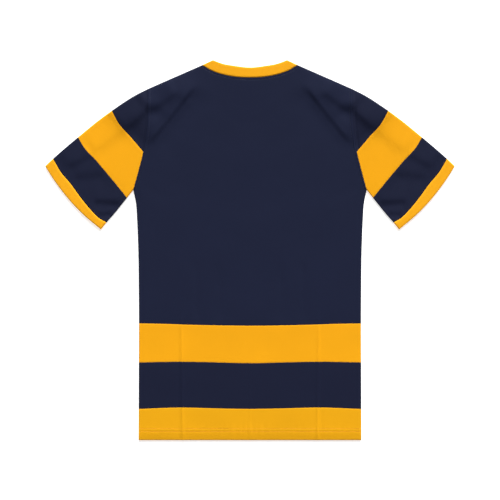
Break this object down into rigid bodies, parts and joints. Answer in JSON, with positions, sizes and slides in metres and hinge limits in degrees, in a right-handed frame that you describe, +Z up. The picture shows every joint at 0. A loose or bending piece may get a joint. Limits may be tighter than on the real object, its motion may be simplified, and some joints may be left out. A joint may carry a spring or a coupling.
{
  "type": "sports jersey",
  "caption": "Short sleeved crew neck sports jersey with hoops on its body and sleeves and a rib collar and cuffs, laid flat with its back upwards.",
  "frame": {"origin": "on the surface that the jersey lies on, midway between its cuffs and midway between its hem and its collar's top", "axes": "+X to the right as the back is seen, across the sleeves; +Y from the hem to the collar; +Z up, out of the back"},
  "size_m": [0.8192, 0.76, 0.0058],
  "materials": {
    "navy_knit": "matt polyester interlock knit with a faint sheen",
    "gold_knit": "matt polyester interlock knit with a faint sheen",
    "gold_rib": "matt rib knit"
  },
  "bodies": {
    "root": {"back_body": "navy_knit", "back_hoop_upper": "gold_knit", "back_hoop_middle": "navy_knit", "back_hoop_hem": "gold_knit", "front_body": "navy_knit", "front_hoop_upper": "gold_knit", "front_hoop_middle": "navy_knit", "front_hoop_hem": "gold_knit", "sleeve_head_left": "navy_knit", "sleeve_hoop_left": "gold_knit", "sleeve_lower_left": "navy_knit", "cuff_left": "gold_rib", "sleeve_head_right": "navy_knit", "sleeve_hoop_right": "gold_knit", "sleeve_lower_right": "navy_knit", "cuff_right": "gold_rib", "collar": "gold_rib"}
  },
  "joints": []
}
